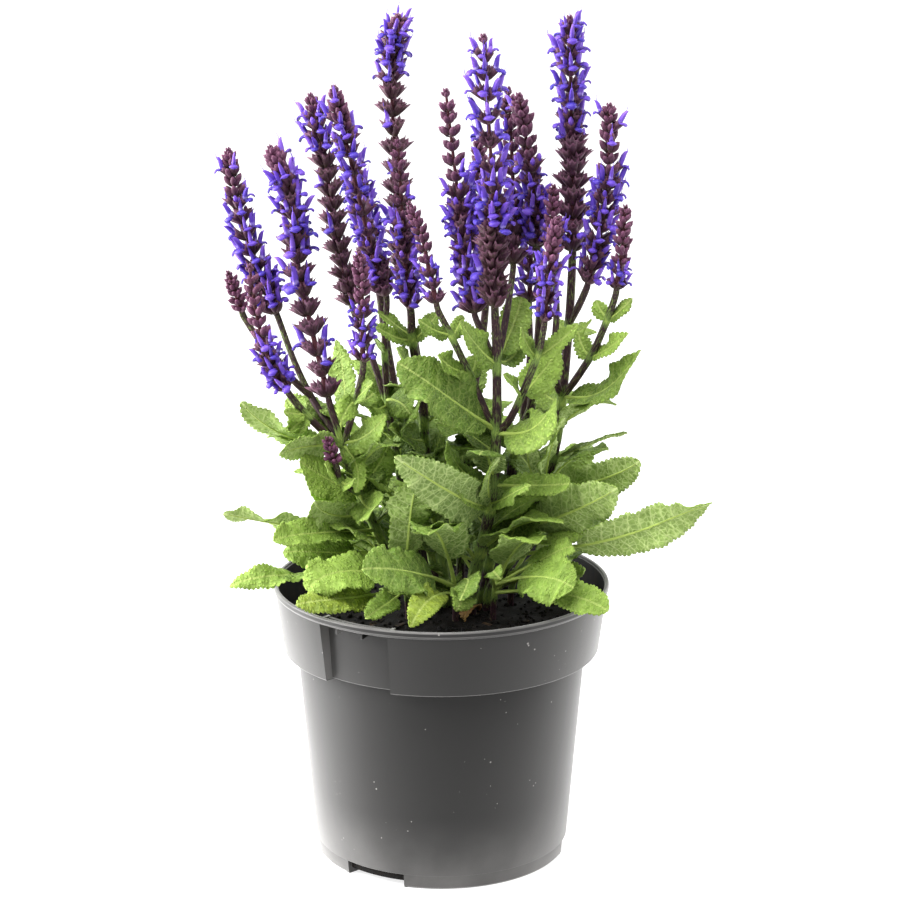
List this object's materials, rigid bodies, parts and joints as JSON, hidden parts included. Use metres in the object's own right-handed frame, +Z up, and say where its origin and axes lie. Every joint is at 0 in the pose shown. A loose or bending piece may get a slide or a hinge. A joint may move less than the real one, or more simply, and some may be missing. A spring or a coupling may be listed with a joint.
{
  "type": "perennial salvia in a nursery pot",
  "caption": "Perennial salvia with upright blue-violet flower spikes on dark square stems over toothed, wrinkled green leaves, growing in a round dark plastic nursery pot.",
  "frame": {"origin": "middle of the pot's flat underside", "axes": "+Z up through the plant; -Y toward the front, the side with the lowest open leaves; +X to the right as seen from the front"},
  "size_m": [0.2045, 0.1436, 0.362],
  "materials": {
    "pot_plastic": "satin",
    "compost": "matte",
    "leaf": "satin",
    "calyx": "matte",
    "corolla": "matte"
  },
  "bodies": {
    "root": {"pot": "pot_plastic", "compost": "compost", "leafy_stem_left": "leaf", "leafy_stem_mid_left": "leaf", "leafy_stem_middle": "leaf", "leafy_stem_front": "leaf", "leafy_stem_right": "leaf", "leafy_stem_back_right": "leaf", "leafy_stem_back": "leaf", "leafy_stem_back_left": "leaf", "shoot_front_left": "leaf", "shoot_front": "leaf", "shoot_front_right": "leaf", "shoot_right": "leaf", "shoot_back": "leaf", "shoot_left": "leaf", "spike_01": "corolla", "spike_02": "calyx", "spike_03": "corolla", "spike_04": "corolla", "spike_05": "corolla", "spike_06": "calyx", "spike_07": "calyx", "spike_08": "corolla", "spike_09": "corolla", "spike_10": "corolla", "spike_11": "calyx", "spike_12": "corolla", "spike_13": "corolla", "spike_14": "calyx", "spike_15": "corolla", "spike_16": "corolla", "spike_17": "corolla", "spike_18": "calyx", "spike_19": "corolla", "spike_20": "corolla", "spike_21": "calyx", "spike_22": "corolla", "spike_23": "corolla"}
  },
  "joints": []
}
